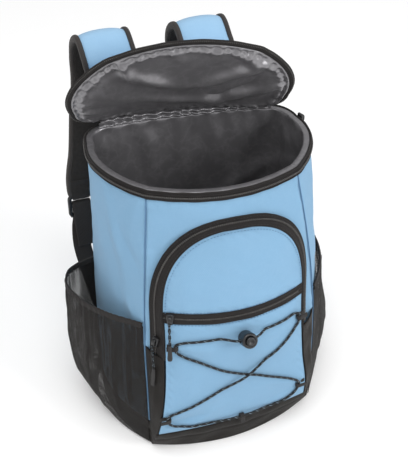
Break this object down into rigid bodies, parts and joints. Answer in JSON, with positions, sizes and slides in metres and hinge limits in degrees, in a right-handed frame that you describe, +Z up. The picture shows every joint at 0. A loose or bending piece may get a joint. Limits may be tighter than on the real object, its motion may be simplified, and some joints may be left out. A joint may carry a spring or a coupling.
{
  "type": "cooler backpack",
  "caption": "Soft insulated backpack with an open hinged lid, lined compartment, zipped front pocket with elastic lacing, mesh side pockets and padded shoulder straps.",
  "frame": {"origin": "on the flat base, on the middle plane, 90 mm in front of the back wall", "axes": "+Z up, -Y towards the front pocket, +Y towards the wearer's back, +X to the right seen from the front"},
  "size_m": [0.3415, 0.325, 0.4958],
  "materials": {
    "blue_cloth": "matt woven polyester",
    "grey_lining": "crinkled metallic film",
    "black_cloth": "matt coated polyester",
    "zip_tape": "woven tape with a nylon coil",
    "black_mesh": "knitted mesh",
    "edge_binding": "ribbed binding tape",
    "black_webbing": "woven webbing",
    "elastic": "braided cord with light flecks",
    "black_plastic": "moulded",
    "black_rubber": "matt"
  },
  "bodies": {
    "pack": {"body_shell": "blue_cloth", "body_lining": "grey_lining", "base_boot": "black_cloth", "corner_gusset_left": "black_cloth", "corner_gusset_right": "black_cloth", "pocket_panel_lower": "blue_cloth", "pocket_panel_upper": "blue_cloth", "mid_zip": "zip_tape", "arch_zip": "zip_tape", "rim_zip": "zip_tape", "lid_zip": "zip_tape", "lid_lining": "grey_lining", "lid_hinge": "grey_lining", "lid_shell": "blue_cloth", "mesh_pocket_left": "black_mesh", "mesh_pocket_right": "black_mesh", "pocket_band_left": "edge_binding", "pocket_band_right": "edge_binding", "shoulder_strap_left": "blue_cloth", "shoulder_strap_right": "blue_cloth", "strap_mesh_left": "black_mesh", "strap_mesh_right": "black_mesh", "strap_binding_left_outer": "edge_binding", "strap_binding_left_inner": "edge_binding", "strap_binding_right_outer": "edge_binding", "strap_binding_right_inner": "edge_binding", "ladder_lock_left": "black_plastic", "ladder_lock_right": "black_plastic", "webbing_left": "black_webbing", "webbing_right": "black_webbing", "elastic_cord": "elastic", "cord_tab_left_upper": "black_webbing", "cord_tab_left_lower": "black_webbing", "cord_tab_right_upper": "black_webbing", "cord_tab_right_lower": "black_webbing", "cord_tab_bottom": "black_webbing", "cord_lock": "black_plastic", "arch_slider": "black_plastic", "arch_pull": "black_rubber", "arch_pull_link": "elastic", "mid_slider": "black_plastic", "mid_pull": "black_rubber", "mid_pull_link": "elastic", "rim_slider": "black_plastic"},
    "button": {"cord_lock_button": "black_plastic"}
  },
  "joints": [
    {"name": "cord_lock_press", "type": "slide", "parent": "pack", "child": "button", "axis": [-0.0017, 0.8769, -0.4806], "range_m": [0, 0.0025], "stiffness_N_per_m": 500, "springref_m": -0.001}
  ]
}
